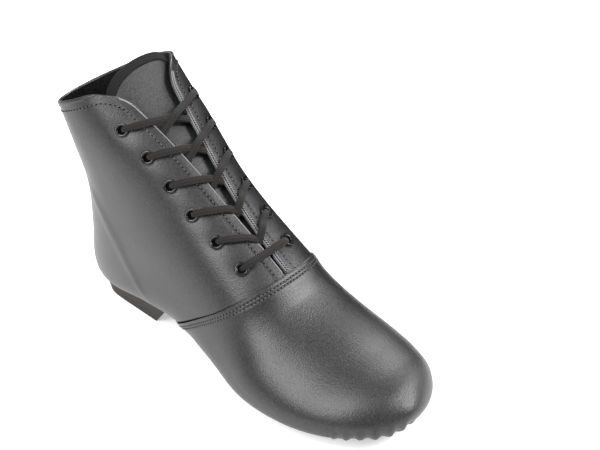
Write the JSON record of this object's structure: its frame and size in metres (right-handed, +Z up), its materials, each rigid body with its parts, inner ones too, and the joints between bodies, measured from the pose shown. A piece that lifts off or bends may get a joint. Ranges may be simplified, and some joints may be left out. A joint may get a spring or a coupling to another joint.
{
  "type": "jazz dance ankle boot",
  "caption": "Lace-up jazz dance ankle boot for the right foot, a smooth leather upper on a split rubber sole with a low heel, a soft tongue and a woven lace through ring eyelets.",
  "frame": {"origin": "middle of the boot's length and width, on the floor that it stands on", "axes": "+X towards the toe, +Y towards the inner (medial) side of the foot, +Z up"},
  "size_m": [0.251, 0.0884, 0.1588],
  "materials": {
    "leather": "smooth black leather, fine grain, satin",
    "sole_rubber": "matt brown-black rubber",
    "insole_fabric": "matt dark sock cloth",
    "binding_tape": "matt black woven tape",
    "eyelet_enamel": "gloss black enamel",
    "woven_lace": "matt ribbed woven cord"
  },
  "bodies": {
    "root": {"upper": "leather", "forefoot_sole": "sole_rubber", "heel": "sole_rubber", "insole": "insole_fabric", "tongue": "leather", "tongue_binding": "binding_tape", "eyelet_lateral_1": "eyelet_enamel", "eyelet_lateral_2": "eyelet_enamel", "eyelet_lateral_3": "eyelet_enamel", "eyelet_lateral_4": "eyelet_enamel", "eyelet_lateral_5": "eyelet_enamel", "eyelet_lateral_6": "eyelet_enamel", "eyelet_medial_1": "eyelet_enamel", "eyelet_medial_2": "eyelet_enamel", "eyelet_medial_3": "eyelet_enamel", "eyelet_medial_4": "eyelet_enamel", "eyelet_medial_5": "eyelet_enamel", "eyelet_medial_6": "eyelet_enamel", "lace_bar": "woven_lace", "lace_cross_1": "woven_lace", "lace_cross_2": "woven_lace", "lace_cross_3": "woven_lace", "lace_cross_4": "woven_lace", "lace_cross_5": "woven_lace"}
  },
  "joints": []
}
